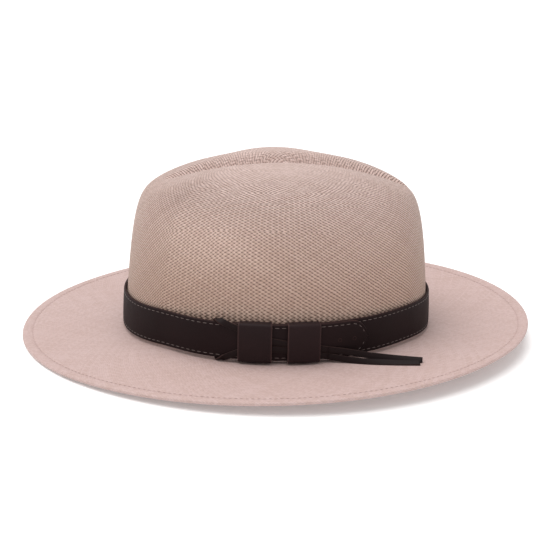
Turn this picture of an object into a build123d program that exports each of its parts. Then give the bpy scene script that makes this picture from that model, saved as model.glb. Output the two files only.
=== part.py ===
from build123d import *
import math
import os

# Panama hat with a stitched leather band, in millimetres.
# +Z is up, the front of the hat faces -Y, and the wearer's left side, which carries the keepers
# and the lace, faces +X. The origin is on the surface that the hat stands on, below the middle
# of the brim. Heights called "above the band" count from the lower edge of the leather band.

# Driving dimensions: the straw
BAND_Z = 7.1  # lower edge of the leather band above the floor
CROWN_HALF_LENGTH = 103.7
CROWN_HALF_WIDTH = 85.1
CROWN_END_RADIUS = 72.0  # radius of the oval at its front and back
BRIM_HALF_LENGTH = 173.6
BRIM_HALF_WIDTH = 151.2
BRIM_END_RADIUS = 134.0
STRAW_THICKNESS = 1.2
HEM_WIDTH = 7.0  # the edge of the brim is turned under by this much
HEM_THICKNESS = 2.2
BREAK_RADIUS = 1.5  # fillet where the crown turns into the brim
BREAK_DROP = 2.2  # top of the brim at the crown, below the band's lower edge
BREAK_SIDE_LIFT = 3.2  # the break, and the band with it, is higher at the sides by this much
BREAK_LEVEL_DEG = 27.0  # it is level this far from the middle of each side
BREAK_LOW_DEG = 80.0  # and back at its lowest from here on
BRIM_MEAN_LIFT = 1.0  # mean height of the brim's edge above the band's lower edge
BRIM_SIDE_LIFT = 1.1  # extra height of the edge at the sides
BRIM_BACK_LIFT = 5.9  # the edge dips this much at the front and rises as much at the back

# Driving dimensions: the crown's shape above the band
RIDGE_HEIGHT = 113.8
RIDGE_FALL = 0.0024  # the ridge falls by this times the square of the distance from its middle
RIDGE_MIDDLE_Y = -1.6
SIDE_EXPONENTS = (3.9, 3.0)  # plan and height exponents of the crown's profile at the sides
END_EXPONENTS = (28.0, 1.33)  # the same at the front and back, where the shoulder is tighter
END_BLEND = 7.0  # how quickly the profile changes between the two
CROWN_TAPER = 0.025  # the plan shrinks by this share over 100 mm of height
DENT_DEPTH = 17.0
DENT_HALF_WIDTH = 18.5
DENT_MIDDLE_Y = 8.0
DENT_FRONT_LENGTH = 86.0
DENT_BACK_LENGTH = 86.0
PINCH_DEPTH = 13.0
PINCH_Y = -53.0
PINCH_Z = 86.0
PINCH_HALF_LENGTH = 40.0
PINCH_HALF_HEIGHT = 20.0
PINCH_FADE_X = 40.0  # the pinch fades out over this distance from the middle plane

# Driving dimensions: the leather band and what is on it
STRAP_HEIGHT = 23.9
STRAP_THICKNESS = 1.8
STRAP_GAP = 0.35  # between the crown and the band
LAYER_GAP = 0.05  # between two layers that lie on each other
KEEPER_BACK = 1.0
KEEPER_FRONT = 1.4
KEEPER_END_WALL = 0.8
KEEPER_PLAY = 0.25
KEEPER_LENGTH = 20.0
KEEPER_MIDDLES_Y = {"keeper_front": -24.9, "keeper_rear": 5.1}
LACE_WIDTH = 4.2
LACE_THICKNESS = 1.2
# The lace's two runs over the band, from where they pass its edges to where the tails begin,
# as (y, height above the band's lower edge)
LACE_UPPER_RUN = [(-47.5, 25.5), (-41, 23.6), (-34, 20.4), (-22, 15.2), (-10, 12.6), (5, 9.8), (21, 6.8)]
LACE_LOWER_RUN = [(-47.5, -2.0), (-42, 1.6), (-34, 5.6), (-22, 7.9), (-10, 8.0), (5, 5.4), (21, 2.3)]
LACE_BACK_RUN = [(-50.5, 26.5), (-47.5, 13), (-46.5, -3)]  # behind the band
LACE_BACK_IN = 0.5
LACE_TURN = 0.9  # thickness of the lace where it turns over the band's edges
LACE_OVER_TOP_Y = (-50.5, -44.0)  # where it does so
LACE_OVER_BOTTOM_Y = (-49.5, -43.5)
LACE_END_MARGIN = 4.0  # the shell it is cut from starts this much earlier
TONGUE_TIP_Y = 48.5
TONGUE_RADIUS = STRAP_HEIGHT / 2
UNDERLAP_END_Y = -38.0  # the covered end of the strap
UNDERLAP_STEP_DEG = (24, 42)  # past the keepers the strap comes back to the crown over this arc
TONGUE_STEP_DEG = (-44, -27)  # and here it climbs over its own covered end
TONGUE_HOLE_RADIUS = 0.8
TONGUE_HOLES_Y = (28.9, 38.7)
# Routes of the lace's free tails, as (x, y, height above the band's lower edge at the front)
TAIL_DIAMETER = 2.4  # of the plain tube that stands for the flat strip
ARC_SHARE = 0.45  # each corner's arc takes up this share of the shorter run beside it
TAIL_ROUTES = {
    "lace_tail_upper": [
        (90.2, 21.3, 9.95),
        (89.8, 33.0, 7.85),
        (90.4, 45.5, 5.95),
        (92.2, 57.5, 4.85),
        (94.4, 69.5, 4.2),
        (96.6, 80.5, 3.9),
    ],
    "lace_tail_lower": [
        (90.2, 21.3, 5.4),
        (91.4, 32.5, 3.2),
        (93.6, 44.0, 2.8),
        (96.2, 55.5, 2.95),
        (98.6, 67.0, 3.3),
        (100.8, 78.0, 3.9),
    ],
}
STITCH_INSET = 2.0
THREAD_WIDTH = 0.7
THREAD_DEPTH = 0.4

# Driving dimensions: the sweatband
SWEAT_HEIGHT = 33.0
SWEAT_THICKNESS = 1.0
SWEAT_OFFSET = -3.6  # its inner face, from the outer face of the crown at the band
SWEAT_LOW = -2.6  # its lower edge above the band's lower edge
SWEAT_LEAN = 1.3  # its upper edge is further in by this much
SWEAT_END_GAP_DEG = 0.4
WELT_RADIUS = 0.55
SWEAT_SEAM_DEG = 90  # its ends meet at the back
SWEAT_STITCH_UP = 1.0  # of the thread, above its lower edge
SWEAT_STITCH_OUT = 0.3  # between the leather and the thread
BOW_WIDTH = 26.0
BOW_HEIGHT = 11.0
BOW_WAIST = 3.2
BOW_KNOT_WIDTH = 5.0
BOW_THICKNESS = 1.6
BOW_Z = 10.0  # of its middle, above the band's lower edge
BOW_SPAN_DEG = (75, 105)  # longer than the bow

# Offsets outward from the crown, where the band is two layers thick under the keepers
KEEPER_BACK_OUT = STRAP_GAP + KEEPER_BACK
UNDERLAP_IN = KEEPER_BACK_OUT + KEEPER_PLAY
TONGUE_IN = UNDERLAP_IN + STRAP_THICKNESS + LAYER_GAP
TONGUE_OUT = TONGUE_IN + STRAP_THICKNESS
LACE_IN = TONGUE_OUT + LAYER_GAP
LACE_OUT = LACE_IN + LACE_THICKNESS
KEEPER_FRONT_IN = LACE_OUT + KEEPER_PLAY
KEEPER_OUT = KEEPER_FRONT_IN + KEEPER_FRONT

TACK_RADIUS = 0.35
TACK_MIDDLE = 0.2  # offset of the middle of each tack from the crown's surface
TACK_LENGTH = 3.4
TACK_DEGREES = (90, 180, 270)  # at the back, the far side and the front
HEM_THREAD_INSET = 0.01  # as shares of the brim's width
HEM_THREAD_SHARE = 0.008

SECTION_POINTS = 56
END_CROWDING_DEG = 11.0  # moves a section's points towards the front and back
CLEARANCE = 0.02
CUT_REACH = 200  # how far a cutting shape reaches, past anything that it cuts
CUT_DEPTH = 12  # of a round cut through the band


class Oval:
    """An oval of four tangent arcs, described by the direction of its outward normal."""

    def __init__(self, half_width, half_length, end_radius):
        self.end_radius = end_radius
        self.end_y = half_length - end_radius
        self.side_radius = (half_width**2 + self.end_y**2 - end_radius**2) / (2 * (half_width - end_radius))
        self.side_x = half_width - self.side_radius
        self.join_sine = math.sin(math.atan2(self.end_y, -self.side_x))

    def point(self, degrees, offset=0.0):
        c, s = math.cos(math.radians(degrees)), math.sin(math.radians(degrees))
        if abs(s) < self.join_sine:
            radius = self.side_radius + offset
            return math.copysign(1, c) * self.side_x + radius * c, radius * s
        radius = self.end_radius + offset
        return radius * c, math.copysign(self.end_y, s) + radius * s


CROWN = Oval(CROWN_HALF_WIDTH, CROWN_HALF_LENGTH, CROWN_END_RADIUS)
BRIM = Oval(BRIM_HALF_WIDTH, BRIM_HALF_LENGTH, BRIM_END_RADIUS)


def smooth_step(value, start, end):
    """0 up to start, 1 from end on, and a smooth rise between them."""
    share = min(max((value - start) / (end - start), 0.0), 1.0)
    return share * share * (3 - 2 * share)


def side_degrees(y, offset=0.0):
    """The direction of the normal on the left side's arc at this y."""
    return math.degrees(math.asin(y / (CROWN.side_radius + offset)))


def band_lift(degrees):
    """How far the break and the band rise towards the middle of each side."""
    from_side = abs((degrees + 90) % 180 - 90)
    return BREAK_SIDE_LIFT * (1 - smooth_step(from_side, BREAK_LEVEL_DEG, BREAK_LOW_DEG))


# The straw body: crown and brim woven in one piece


BISECTIONS = 40


def profile_point(climb, plan_exponent, height_exponent):
    """The point of plan**a + height**b = 1 that is seen at this angle from the corner."""
    c, s = math.cos(math.radians(climb)), math.sin(math.radians(climb))
    low, high = 0.0, math.sqrt(2)
    for _ in range(BISECTIONS):
        middle = (low + high) / 2
        if (middle * c) ** plan_exponent + (middle * s) ** height_exponent < 1:
            low = middle
        else:
            high = middle
    return low * c, low * s


def dent(x, y):
    """How far the centre dent presses the top down."""
    length = DENT_FRONT_LENGTH if y < DENT_MIDDLE_Y else DENT_BACK_LENGTH
    fade = max(1 - ((y - DENT_MIDDLE_Y) / length) ** 2, 0.0)
    if fade == 0:
        return 0.0
    across = min(abs(x) / (DENT_HALF_WIDTH * math.sqrt(fade)), 1.0)
    return DENT_DEPTH * fade * math.cos(math.pi * across / 2) ** 2


def pinch(x, y, z):
    """How far the front pinch presses the side in."""
    along = (y - PINCH_Y) / PINCH_HALF_LENGTH
    up = (z - PINCH_Z) / PINCH_HALF_HEIGHT
    return PINCH_DEPTH * math.exp(-along * along - up * up) * smooth_step(abs(x), 0, PINCH_FADE_X)


def crown_point(degrees, climb, inset=0.0):
    """A point of the crown: climb is 0 at the band and 90 at the middle of the top."""
    weight = abs(math.sin(math.radians(degrees))) ** END_BLEND
    exponents = [side + (end - side) * weight for side, end in zip(SIDE_EXPONENTS, END_EXPONENTS)]
    plan, rise = profile_point(climb, *exponents)
    x, y = (plan * value for value in CROWN.point(degrees, -inset))
    z = rise * (RIDGE_HEIGHT - inset - RIDGE_FALL * (y - RIDGE_MIDDLE_Y) ** 2)
    shrink = 1 - CROWN_TAPER * z / 100
    x, y = x * shrink, y * shrink
    z -= dent(x, y)
    x -= math.copysign(pinch(x, y, z), x)
    return x, y, BAND_Z + z


def brim_edge_height(y):
    along = y / BRIM_HALF_LENGTH
    return BRIM_MEAN_LIFT + BRIM_SIDE_LIFT * (1 - along * along) + BRIM_BACK_LIFT * along


def brim_point(degrees, share, below=0.0):
    """A point of the brim: share is 0 at the break and 1 at the edge."""
    x0, y0 = CROWN.point(degrees, BREAK_RADIUS)
    x1, y1 = BRIM.point(degrees)
    low = band_lift(degrees) - BREAK_DROP
    z = low + (brim_edge_height(y1) - low) * share**1.5
    return x0 + (x1 - x0) * share, y0 + (y1 - y0) * share, BAND_Z + z - below


def break_point(degrees, turn, below=0.0):
    """A point of the fillet between crown and brim: turn is 0 at the crown, 90 at the brim."""
    radius = BREAK_RADIUS + below
    x, y = CROWN.point(degrees, BREAK_RADIUS - radius * math.cos(math.radians(turn)))
    z = band_lift(degrees) - BREAK_DROP + BREAK_RADIUS - radius * math.sin(math.radians(turn))
    return x, y, BAND_Z + z


def ring(point_at):
    """A closed curve through point_at(degrees) all round, with more points at the ends."""
    turns = [2 * math.pi * i / SECTION_POINTS for i in range(SECTION_POINTS)]
    steps = [math.degrees(turn) + END_CROWDING_DEG * math.sin(2 * turn) for turn in turns]
    return Wire([Edge.make_spline([Vector(*point_at(step)) for step in steps], periodic=True)])


def level_ring(point_at):
    """The same at one height, so that a flat face closes it."""
    height = sum(point_at(step)[2] for step in (0, 90, 180, 270)) / 4
    return ring(lambda step: (*point_at(step)[:2], height))


def closed_solid(shells, caps):
    faces = [face for shell in shells for face in shell.faces()]
    return Solid(Shell(faces + [Face(cap) for cap in caps]))


TOP_CLIMB = 89.2
CLIMBS = [86, 82, 78, 74, 70, 66, 62, 58, 54, 50, 46, 42, 38, 34, 29, 23, 17, 11, 6]
BRIM_SHARES = [0.22, 0.44, 0.66]
HEM_SHARE = 1 - HEM_WIDTH / (BRIM_HALF_LENGTH - CROWN_HALF_LENGTH)


def straw_skin(inset, top, brim_last):
    """The crown, the break and the brim, seen from above (inset 0) or from below."""
    crown = [top] + [ring(lambda d, c=c: crown_point(d, c, inset)) for c in CLIMBS]
    fold = [ring(lambda d, t=t: break_point(d, t, inset)) for t in (0, 45, 90)]
    crown += [fold[0]]
    brim = [fold[2]] + [ring(lambda d, s=s: brim_point(d, s, inset)) for s in BRIM_SHARES]
    brim += [brim_last]
    return [Shell.make_loft(wires) for wires in (crown, fold, brim)]


def straw_body():
    top = level_ring(lambda d: crown_point(d, TOP_CLIMB))
    under_top = level_ring(lambda d: crown_point(d, TOP_CLIMB, STRAW_THICKNESS))
    edge_high = ring(lambda d: brim_point(d, 1))
    edge_low = ring(lambda d: brim_point(d, 1, HEM_THICKNESS))
    hem_low = ring(lambda d: brim_point(d, HEM_SHARE, HEM_THICKNESS))
    hem_high = ring(lambda d: brim_point(d, HEM_SHARE, STRAW_THICKNESS))
    shells = straw_skin(0, top, edge_high) + straw_skin(STRAW_THICKNESS, under_top, hem_high)
    for pair in ([edge_high, edge_low], [edge_low, hem_low], [hem_low, hem_high]):
        shells.append(Shell.make_loft(pair, ruled=True))
    return closed_solid(shells, [top, under_top])


# Walls that follow the crown: the leather band, the keepers, the sweatband and the threads

WALL_STEP = 2.0  # degrees between the points of a wall's edges


def as_function(value):
    return value if callable(value) else lambda degrees: value


def wall(start, end, inner, outer, low, high, lean=0.0):
    """A solid between two offsets from the crown's oval and two heights above the band."""
    inner, outer = as_function(inner), as_function(outer)
    count = max(2, math.ceil((end - start) / WALL_STEP))
    steps = [start + (end - start) * i / count for i in range(count + 1)]

    def edge(offset, height, inset=0.0):
        points = []
        for step in steps:
            x, y = CROWN.point(step, offset(step) - inset)
            points.append(Vector(x, y, BAND_Z + band_lift(step) + height))
        return Edge.make_spline(points)

    edges = [edge(inner, low), edge(outer, low), edge(outer, high, lean), edge(inner, high, lean)]
    sides = [Face.make_surface_from_curves(edges[i], edges[i - 1]) for i in range(4)]
    caps = [Face(Wire.make_polygon([e @ end_at for e in edges])) for end_at in (0, 1)]
    return Solid(Shell(sides + caps))


def radial_plane(degrees, offset, height):
    """A plane that faces outward at a point of the band."""
    x, y = CROWN.point(degrees, offset)
    direction = math.cos(math.radians(degrees)), math.sin(math.radians(degrees)), 0
    origin = (x, y, BAND_Z + band_lift(degrees) + height)
    return Plane(origin, x_dir=(-direction[1], direction[0], 0), z_dir=direction)


def radial_cylinder(degrees, offset, height, radius, length):
    return radial_plane(degrees, offset, height) * Cylinder(radius, length)


FULL_TURN = 360
TONGUE_CENTRE_DEG = side_degrees(TONGUE_TIP_Y - TONGUE_RADIUS, TONGUE_OUT)
TONGUE_TIP_DEG = side_degrees(TONGUE_TIP_Y, TONGUE_OUT)
UNDERLAP_END_DEG = side_degrees(UNDERLAP_END_Y, UNDERLAP_IN)


def strap_inner(degrees):
    """Offset of the band's inner face; the degrees run on past a full turn on the tongue."""
    drop = (UNDERLAP_IN - STRAP_GAP) * (1 - smooth_step(degrees, *UNDERLAP_STEP_DEG))
    climb = (TONGUE_IN - STRAP_GAP) * smooth_step(degrees - FULL_TURN, *TONGUE_STEP_DEG)
    return STRAP_GAP + drop + climb


def strap_outer(degrees):
    return strap_inner(degrees) + STRAP_THICKNESS


def thread_rows(extra=0.0):
    """The two rows of stitching, as ribbons in the band's outer face, and the tongue's end."""
    half = THREAD_WIDTH / 2 + extra
    start, end = UNDERLAP_END_DEG + 1, FULL_TURN + TONGUE_CENTRE_DEG
    rows = {}
    for row, middle in (("upper", STRAP_HEIGHT - STITCH_INSET), ("lower", STITCH_INSET)):
        rows[row] = wall(
            start,
            end,
            lambda d: strap_outer(d) - THREAD_DEPTH - extra,
            lambda d: strap_outer(d) + extra,
            middle - half,
            middle + half,
        )
    radius = TONGUE_RADIUS - STITCH_INSET
    at = (TONGUE_CENTRE_DEG, TONGUE_OUT, STRAP_HEIGHT / 2)
    hoop = radial_cylinder(*at, radius + half, CUT_DEPTH) - radial_cylinder(*at, radius - half, CUT_DEPTH)
    shell = wall(
        TONGUE_CENTRE_DEG,
        TONGUE_TIP_DEG + 1,
        TONGUE_OUT - THREAD_DEPTH - extra,
        TONGUE_OUT + extra,
        -1,
        STRAP_HEIGHT + 1,
    )
    rows["upper"] = rows["upper"] + (hoop & shell)
    return rows


def hat_strap():
    strap = wall(
        UNDERLAP_END_DEG, FULL_TURN + TONGUE_TIP_DEG + 1, strap_inner, strap_outer, 0, STRAP_HEIGHT
    )
    middle = STRAP_HEIGHT / 2
    tip = wall(
        TONGUE_CENTRE_DEG, TONGUE_TIP_DEG + 2, TONGUE_IN - CLEARANCE, TONGUE_OUT + 1, -1, STRAP_HEIGHT + 1
    )
    strap -= tip - radial_cylinder(TONGUE_CENTRE_DEG, TONGUE_OUT, middle, TONGUE_RADIUS, CUT_DEPTH)
    through = STRAP_THICKNESS + 2 * CLEARANCE
    for y in TONGUE_HOLES_Y:
        degrees = side_degrees(y, TONGUE_OUT)
        strap -= radial_cylinder(
            degrees, (TONGUE_IN + TONGUE_OUT) / 2, middle, TONGUE_HOLE_RADIUS, through
        )
    for row in thread_rows(CLEARANCE).values():
        strap -= row
    return strap


def keeper(middle_y):
    radius = (KEEPER_BACK_OUT + KEEPER_FRONT_IN) / 2
    middle = side_degrees(middle_y, radius)
    half = math.degrees(KEEPER_LENGTH / 2 / (CROWN.side_radius + radius))
    low, high = -KEEPER_PLAY, STRAP_HEIGHT + KEEPER_PLAY
    outside = wall(
        middle - half, middle + half, STRAP_GAP, KEEPER_OUT, low - KEEPER_END_WALL, high + KEEPER_END_WALL
    )
    hole = middle - 2 * half, middle + 2 * half
    return outside - wall(*hole, KEEPER_BACK_OUT, KEEPER_FRONT_IN, low, high)


def stroke(run, width, lift):
    """The outline of a strip along a run of (y, height) points, as a face in the YZ plane."""
    sides = ([], [])
    for i, (y, z) in enumerate(run):
        before, after = run[max(i - 1, 0)], run[min(i + 1, len(run) - 1)]
        dy, dz = after[0] - before[0], after[1] - before[1]
        scale = width / 2 / math.hypot(dy, dz)
        for side, sign in zip(sides, (1, -1)):
            side.append(Vector(0, y - sign * dz * scale, BAND_Z + lift + z + sign * dy * scale))
    upper, lower = Edge.make_spline(sides[0]), Edge.make_spline(sides[1])
    ends = [Edge.make_line(upper @ at, lower @ at) for at in (0, 1)]
    return Face(Wire([upper, ends[1], lower, ends[0]]))


def strip_on_band(run, inner, outer, low, high):
    """A strip of lace along a run, bent round the crown between two offsets."""
    cut = extrude(stroke(run, LACE_WIDTH, BREAK_SIDE_LIFT), amount=CUT_REACH, dir=(1, 0, 0))
    ends = min(p[0] for p in run) - LACE_END_MARGIN, max(p[0] for p in run)
    span = [side_degrees(y, inner) for y in ends]
    return wall(*span, inner, outer, low, high) & cut


def lace_loop():
    low, high = -LACE_TURN, STRAP_HEIGHT + LACE_TURN
    upper = strip_on_band(LACE_UPPER_RUN, LACE_IN, LACE_OUT, low, high)
    lower = strip_on_band(LACE_LOWER_RUN, LACE_IN, LACE_OUT, low, high)
    back = strip_on_band(LACE_BACK_RUN, LACE_BACK_IN, LACE_BACK_IN + LACE_THICKNESS, low, high)
    loop = upper + lower + back
    over_edges = (LACE_OVER_TOP_Y, STRAP_HEIGHT + LAYER_GAP, high), (LACE_OVER_BOTTOM_Y, low, -LAYER_GAP)
    for span_y, turn_low, turn_high in over_edges:
        span = [side_degrees(y, LACE_IN) for y in span_y]
        loop += wall(*span, LACE_BACK_IN, LACE_OUT, turn_low, turn_high)
    return loop


def lace_tail(route):
    """A plain tube along straight runs with an arc at each corner."""
    points = [Vector(x, y, BAND_Z + z) for x, y, z in route]
    radii = []
    for before, corner, after in zip(points, points[1:], points[2:]):
        turn = math.radians((corner - before).get_angle(after - corner))
        shorter = min((corner - before).length, (after - corner).length)
        radii.append(ARC_SHARE * shorter / math.tan(turn / 2))
    path = FilletPolyline(*points, radius=radii)
    section = Plane(origin=path @ 0, z_dir=path % 0) * Circle(TAIL_DIAMETER / 2)
    tube = sweep(section, path=path)
    print("bend radii", [round(radius) for radius in radii], "length", round(path.length, 1))
    print("volume share", round(tube.volume / (section.area * path.length), 4))
    return tube


def band_tacks():
    """Short threads that hold the band to the crown."""
    at = TACK_MIDDLE, STRAP_HEIGHT / 2, TACK_RADIUS, TACK_LENGTH
    return Compound([radial_cylinder(degrees, *at).solid() for degrees in TACK_DEGREES])


def sweatband():
    span = SWEAT_SEAM_DEG + SWEAT_END_GAP_DEG, SWEAT_SEAM_DEG + FULL_TURN - SWEAT_END_GAP_DEG
    outer = SWEAT_OFFSET + SWEAT_THICKNESS
    return wall(*span, SWEAT_OFFSET, outer, SWEAT_LOW, SWEAT_LOW + SWEAT_HEIGHT, SWEAT_LEAN)


def closed_ring(offset_in, offset_out, low, high):
    """A ring all round the crown's oval, in two halves joined."""
    halves = [wall(start, start + 180, offset_in, offset_out, low, high) for start in (0, 180)]
    return halves[0] + halves[1]


def sweatband_welt():
    outer = -STRAW_THICKNESS - CLEARANCE
    inner = SWEAT_OFFSET + SWEAT_THICKNESS + CLEARANCE
    return closed_ring(inner, outer, SWEAT_LOW, SWEAT_LOW + 2 * WELT_RADIUS)


def sweatband_thread():
    outer = SWEAT_OFFSET - SWEAT_STITCH_OUT
    low = SWEAT_LOW + SWEAT_STITCH_UP
    return closed_ring(outer - THREAD_DEPTH, outer, low, low + THREAD_WIDTH)


def sweatband_bow():
    """A flat ribbon bow over the sweatband's joint, with two loops and a knot."""
    half, tall, waist = BOW_WIDTH / 2, BOW_HEIGHT / 2, BOW_WAIST / 2
    outline = [(-half, -tall), (0, -waist), (half, -tall), (half, tall), (0, waist), (-half, tall)]
    shape = make_face(Polyline(outline, close=True).edges()) + Rectangle(BOW_KNOT_WIDTH, BOW_HEIGHT / 2)
    face = Plane(origin=(0, 0, BAND_Z + BOW_Z), x_dir=(1, 0, 0), z_dir=(0, 1, 0)) * shape
    inner = SWEAT_OFFSET - SWEAT_STITCH_OUT - THREAD_DEPTH - CLEARANCE - BOW_THICKNESS
    outer = inner + BOW_THICKNESS
    shell = wall(*BOW_SPAN_DEG, inner, outer, SWEAT_LOW, SWEAT_LOW + SWEAT_HEIGHT, SWEAT_LEAN)
    return extrude(face, amount=CUT_REACH) & shell


def hem_thread():
    """The stitching that holds the turned edge, as a thin ring on top of the brim."""
    share = HEM_SHARE + HEM_THREAD_INSET
    rings = []
    for at, below in ((share, -CLEARANCE), (share + HEM_THREAD_SHARE, -CLEARANCE)):
        rings.append(ring(lambda d, a=at, b=below: brim_point(d, a, b)))
        rings.append(ring(lambda d, a=at, b=below: brim_point(d, a, b - THREAD_DEPTH)))
    low_in, high_in, low_out, high_out = rings
    pairs = ([low_in, low_out], [low_out, high_out], [high_out, high_in], [high_in, low_in])
    faces = [face for pair in pairs for face in Shell.make_loft(pair, ruled=True).faces()]
    return Solid(Shell(faces))


def nodes():
    rows = thread_rows()
    made = {
        "straw_body": straw_body(),
        "hem_thread": hem_thread(),
        "hat_strap": hat_strap(),
        "strap_thread_upper": rows["upper"],
        "strap_thread_lower": rows["lower"],
        "band_tacks": band_tacks(),
        "lace_loop": lace_loop(),
        "sweatband": sweatband(),
        "sweatband_welt": sweatband_welt(),
        "sweatband_thread": sweatband_thread(),
        "sweatband_bow": sweatband_bow(),
    }
    for name, middle_y in KEEPER_MIDDLES_Y.items():
        made[name] = keeper(middle_y)
    for name, route in TAIL_ROUTES.items():
        made[name] = lace_tail(route)
    return made


os.makedirs("parts", exist_ok=True)
for name, shape in nodes().items():
    export_step(shape, f"parts/{name}.step")
    print(name, "solids", len(shape.solids()), "volume", round(shape.volume, 1), shape.is_valid)
print("keeper hinge axis x", round(CROWN.side_x, 4), "radius", round(CROWN.side_radius, 4))
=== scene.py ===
import math

import bpy
import numpy as np
from mathutils import Matrix, Vector


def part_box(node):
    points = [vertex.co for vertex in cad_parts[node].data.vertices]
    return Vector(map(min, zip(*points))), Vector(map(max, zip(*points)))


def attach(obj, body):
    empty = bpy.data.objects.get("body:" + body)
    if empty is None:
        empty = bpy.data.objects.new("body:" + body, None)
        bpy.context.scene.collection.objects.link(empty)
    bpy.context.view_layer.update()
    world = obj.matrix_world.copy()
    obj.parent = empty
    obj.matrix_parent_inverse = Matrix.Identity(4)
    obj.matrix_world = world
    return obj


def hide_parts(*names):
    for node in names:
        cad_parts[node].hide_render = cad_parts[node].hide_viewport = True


# A panama hat on a pale floor. Shapes are worked out in millimetres, in the frame of the CAD
# model (+Z up, the front of the hat faces -Y, the wearer's left faces +X), and made in metres.

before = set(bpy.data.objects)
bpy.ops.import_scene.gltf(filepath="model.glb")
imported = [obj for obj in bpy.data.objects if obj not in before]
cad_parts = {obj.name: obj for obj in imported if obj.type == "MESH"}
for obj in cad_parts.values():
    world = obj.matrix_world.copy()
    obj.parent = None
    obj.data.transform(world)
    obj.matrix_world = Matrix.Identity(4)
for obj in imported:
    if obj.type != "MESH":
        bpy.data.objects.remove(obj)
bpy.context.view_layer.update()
MM = 0.001


def node_box(name):
    low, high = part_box(name)
    return np.array(low) / MM, np.array(high) / MM


# Driving dimensions that the frame gives
BRIM_HALF_WIDTH, BRIM_HALF_LENGTH, _ = node_box("straw_body")[1]

# Driving dimensions of the straw, as in the CAD model
BAND_Z = 7.1
CROWN_HALF_LENGTH = 103.7
CROWN_HALF_WIDTH = 85.1
CROWN_END_RADIUS = 72.0
BRIM_END_RADIUS = 134.0
STRAW_THICKNESS = 1.2
HEM_WIDTH = 7.0
HEM_THICKNESS = 2.2
BREAK_RADIUS = 1.5
BREAK_DROP = 2.2
BREAK_SIDE_LIFT = 3.2
BREAK_LEVEL_DEG, BREAK_LOW_DEG = 27.0, 80.0
BRIM_MEAN_LIFT = 1.0
BRIM_SIDE_LIFT = 1.1
BRIM_BACK_LIFT = 5.9
RIDGE_HEIGHT = 113.8
RIDGE_FALL = 0.0024
RIDGE_MIDDLE_Y = -1.6
SIDE_EXPONENTS = (3.9, 3.0)
END_EXPONENTS = (28.0, 1.33)
END_BLEND = 7.0
CROWN_TAPER = 0.025
DENT_DEPTH = 17.0
DENT_HALF_WIDTH = 18.5
DENT_MIDDLE_Y = 8.0
DENT_HALF_LENGTH = 86.0
PINCH_DEPTH = 13.0
PINCH_Y, PINCH_Z = -53.0, 86.0
PINCH_HALF_LENGTH, PINCH_HALF_HEIGHT = 40.0, 20.0
PINCH_FADE_X = 40.0

# The band and what is on it
STRAP_HEIGHT = 23.9
STRAP_THICKNESS = 1.8
STRAP_GAP = 0.35
UNDERLAP_IN = 1.6
TONGUE_IN = 3.45
LACE_THICKNESS = 1.2
LACE_WIDTH = 4.1
LAYER_GAP = 0.05
LACE_MIDDLE = TONGUE_IN + STRAP_THICKNESS + LAYER_GAP + LACE_THICKNESS / 2
UNDERLAP_END_Y = -38.0
UNDERLAP_STEP_DEG = (24, 42)
TONGUE_STEP_DEG = (-44, -27)
TONGUE_TIP_Y = 48.5
TONGUE_HOLES_Y = (28.9, 38.7)
STITCH_INSET = 2.0
STITCH_PITCH = 4.2
STITCH_LENGTH = 3.2
STITCH_SIZE = (0.42, 0.36)  # width and height
STITCH_SINK = 0.18
FULL_TURN = 360.0

# The camera's place round the hat, and how far it is turned up and left of the band's middle
CAMERA_DISTANCE = 900.0
CAMERA_AZIMUTH = 82.2
CAMERA_PITCH = 20.0
CAMERA_ROLL = 1.36
CAMERA_LENS = 84.72
CAMERA_AIM_UP = 1.841
CAMERA_AIM_LEFT = 0.066

WORLD_STRENGTH = 0.58
KEY_STRENGTH = 2.3
KEY_SPREAD_DEG = 60.0
KEY_DIRECTION = (0.12, 0.22, -1.0)
FLOOR_GLOW = 0.17


# Shapes of the hat, from the same formulas as the CAD model


class Oval:
    """An oval of four tangent arcs, described by the direction of its outward normal."""

    def __init__(self, half_width, half_length, end_radius):
        self.end_radius = end_radius
        self.end_y = half_length - end_radius
        reach = half_width**2 + self.end_y**2 - end_radius**2
        self.side_radius = reach / (2 * (half_width - end_radius))
        self.side_x = half_width - self.side_radius
        self.join_sine = math.sin(math.atan2(self.end_y, -self.side_x))

    def point(self, degrees, offset=0.0):
        c, s = np.cos(np.radians(degrees)), np.sin(np.radians(degrees))
        side = np.abs(s) < self.join_sine
        radius = np.where(side, self.side_radius, self.end_radius) + offset
        x = np.where(side, np.sign(c) * self.side_x, 0) + radius * c
        y = np.where(side, 0, np.sign(s) * self.end_y) + radius * s
        return x, y


CROWN = Oval(CROWN_HALF_WIDTH, CROWN_HALF_LENGTH, CROWN_END_RADIUS)
BRIM = Oval(BRIM_HALF_WIDTH, BRIM_HALF_LENGTH, BRIM_END_RADIUS)


def smooth_step(value, start, end):
    share = np.clip((value - start) / (end - start), 0, 1)
    return share * share * (3 - 2 * share)


def side_degrees(y, offset=0.0):
    """The direction of the normal on the left side's arc at this y."""
    return math.degrees(math.asin(y / (CROWN.side_radius + offset)))


def band_lift(degrees):
    from_side = np.abs((degrees + 90) % 180 - 90)
    return BREAK_SIDE_LIFT * (1 - smooth_step(from_side, BREAK_LEVEL_DEG, BREAK_LOW_DEG))


BISECTIONS = 40


def profile_point(climb, plan_exponent, height_exponent):
    """The point of plan**a + height**b = 1 that is seen at this angle from the corner."""
    c, s = math.cos(math.radians(climb)), math.sin(math.radians(climb))
    low, high = np.zeros_like(plan_exponent), np.full_like(plan_exponent, math.sqrt(2))
    for _ in range(BISECTIONS):
        middle = (low + high) / 2
        inside = (middle * c) ** plan_exponent + (middle * s) ** height_exponent < 1
        low, high = np.where(inside, middle, low), np.where(inside, high, middle)
    return low * c, low * s


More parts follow.
